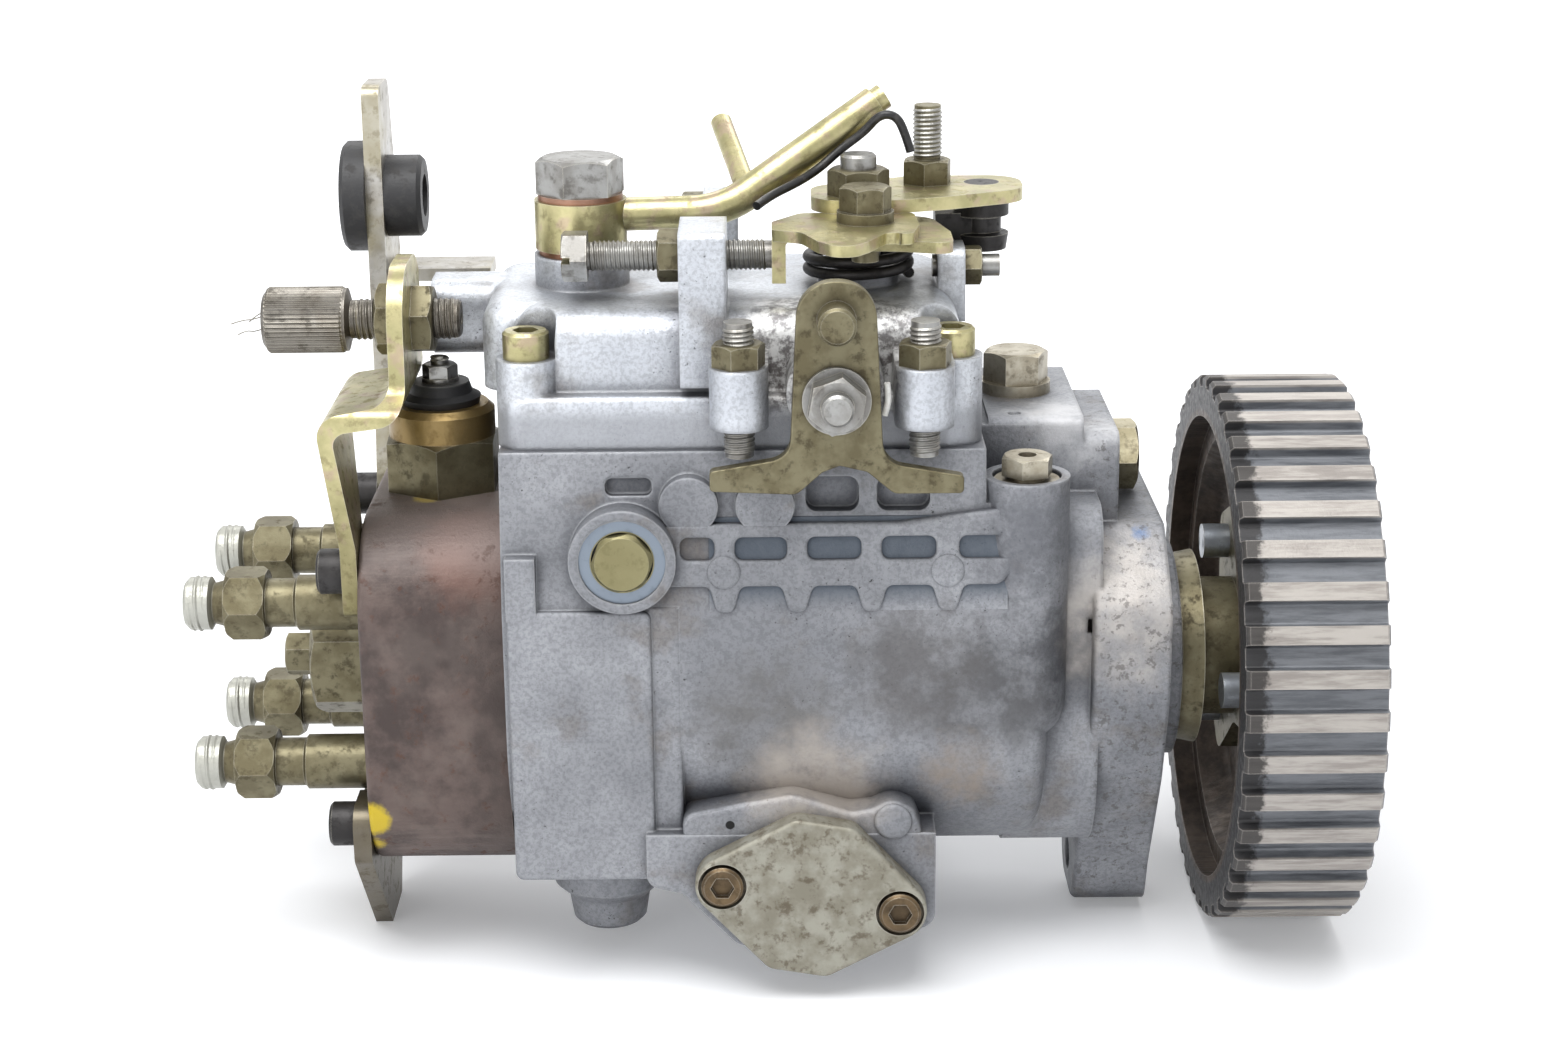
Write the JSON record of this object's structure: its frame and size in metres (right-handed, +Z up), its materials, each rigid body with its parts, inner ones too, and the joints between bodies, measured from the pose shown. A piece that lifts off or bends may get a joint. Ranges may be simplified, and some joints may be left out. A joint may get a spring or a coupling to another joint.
{
  "type": "diesel injection pump",
  "caption": "Rotary distributor fuel injection pump with toothed belt pulley, ribbed casting, control levers, rear outlets, shut-off solenoid and support bracket.",
  "frame": {"origin": "centre of the pilot spigot, on the front face of the mounting flange", "axes": "+X along the drive shaft out to the pulley, +Y away from the stop lever's side, +Z up to the throttle lever"},
  "size_m": [0.2619, 0.1265, 0.1929],
  "materials": {
    "cast_aluminium": "satin",
    "rusty_steel": "matte",
    "steel": "satin",
    "black_steel": "satin",
    "yellow_zinc": "satin",
    "olive_zinc": "satin",
    "bright_zinc": "satin",
    "black_rubber": "matte",
    "sintered_steel": "matte"
  },
  "bodies": {
    "pump": {"pump_housing": "cast_aluminium", "governor_cover": "cast_aluminium", "cover_screws": "black_steel", "distributor_head": "rusty_steel", "head_screws": "black_steel", "distributor_barrel": "steel", "delivery_valve_holders": "olive_zinc", "delivery_valves": "steel", "centre_plug": "olive_zinc", "stop_solenoid_case": "olive_zinc", "solenoid_terminal": "black_rubber", "support_bracket": "rusty_steel", "support_grommet": "black_rubber", "cable_bracket": "yellow_zinc", "cable_adjuster": "bright_zinc", "cable_adjuster_nuts": "yellow_zinc", "overflow_pipe": "yellow_zinc", "overflow_bolt": "bright_zinc", "adjusting_screws": "bright_zinc", "adjusting_nuts": "bright_zinc", "inlet_bolt": "olive_zinc", "pressure_regulating_valve": "olive_zinc", "front_plug": "yellow_zinc", "side_plug": "olive_zinc", "timing_covers": "cast_aluminium", "timing_cover_screws": "yellow_zinc", "throttle_return_spring": "black_steel", "signal_wire": "black_rubber", "drive_shaft_seal_and_bush": "black_rubber", "feed_pump_ring": "steel", "feed_pump_plate": "steel", "spring_plate": "steel", "inner_springs": "steel", "governor_pins": "steel"},
    "drive": {"drive_shaft": "steel", "belt_pulley": "sintered_steel", "pulley_hub": "yellow_zinc", "pulley_fasteners": "steel", "feed_pump_rotor": "steel", "governor_drive_gear": "steel", "cam_disc": "steel", "coupling_cross": "steel", "plunger": "steel"},
    "governor_cage": {"governor_cage": "steel", "governor_flyweights": "steel"},
    "governor_sleeve": {"governor_sleeve": "steel"},
    "governor_lever": {"governor_lever": "steel", "governor_spring": "steel"},
    "control_collar": {"control_collar": "steel"},
    "throttle": {"throttle_shaft": "black_steel", "throttle_lever": "bright_zinc", "throttle_stop_plates": "bright_zinc", "throttle_fasteners": "olive_zinc", "cable_nipple": "black_steel"},
    "stop_lever": {"stop_lever": "olive_zinc", "stop_shaft": "bright_zinc"},
    "roller_ring": {"roller_ring": "steel", "ring_rollers": "steel"},
    "timing_piston": {"timing_piston": "steel"},
    "solenoid_armature": {"solenoid_armature": "steel"}
  },
  "joints": [
    {"name": "drive_spin", "type": "hinge", "parent": "pump", "child": "drive", "pos_m": [0, 0, 0], "axis": [1, 0, 0], "continuous": true},
    {"name": "cage_spin", "type": "hinge", "parent": "pump", "child": "governor_cage", "pos_m": [-0.07, 0, 0.042], "axis": [1, 0, 0], "continuous": true},
    {"name": "governor_lever_tilt", "type": "hinge", "parent": "pump", "child": "governor_lever", "pos_m": [-0.113, 0, 0.024], "axis": [0, -1, 0], "range_deg": [0, 8]},
    {"name": "governor_sleeve_slide", "type": "slide", "parent": "pump", "child": "governor_sleeve", "axis": [-1, 0, 0], "range_m": [0, 0.00252]},
    {"name": "control_collar_slide", "type": "slide", "parent": "pump", "child": "control_collar", "axis": [1, 0, 0], "range_m": [0, 0.00213]},
    {"name": "throttle_turn", "type": "hinge", "parent": "pump", "child": "throttle", "pos_m": [-0.067, -0.002, 0.1], "axis": [0, 0, 1], "range_deg": [0, 45]},
    {"name": "stop_lever_turn", "type": "hinge", "parent": "pump", "child": "stop_lever", "pos_m": [-0.0732, -0.05, 0.074], "axis": [0, 1, 0], "range_deg": [-4, 0]},
    {"name": "timing_piston_slide", "type": "slide", "parent": "pump", "child": "timing_piston", "axis": [0, 1, 0], "range_m": [0, 0.00806]},
    {"name": "roller_ring_turn", "type": "hinge", "parent": "pump", "child": "roller_ring", "pos_m": [-0.079, 0, 0], "axis": [1, 0, 0], "range_deg": [0, 12]},
    {"name": "solenoid_armature_lift", "type": "slide", "parent": "pump", "child": "solenoid_armature", "axis": [0, 0, 1], "range_m": [0, 0.0015]}
  ],
  "couplings": [
    {"joint": "cage_spin", "follows": "drive_spin", "ratio": -1.6087},
    {"joint": "governor_sleeve_slide", "follows": "governor_lever_tilt", "m_per_rad": 0.018},
    {"joint": "control_collar_slide", "follows": "governor_lever_tilt", "m_per_rad": 0.0152},
    {"joint": "roller_ring_turn", "follows": "timing_piston_slide", "rad_per_m": 25.9}
  ]
}
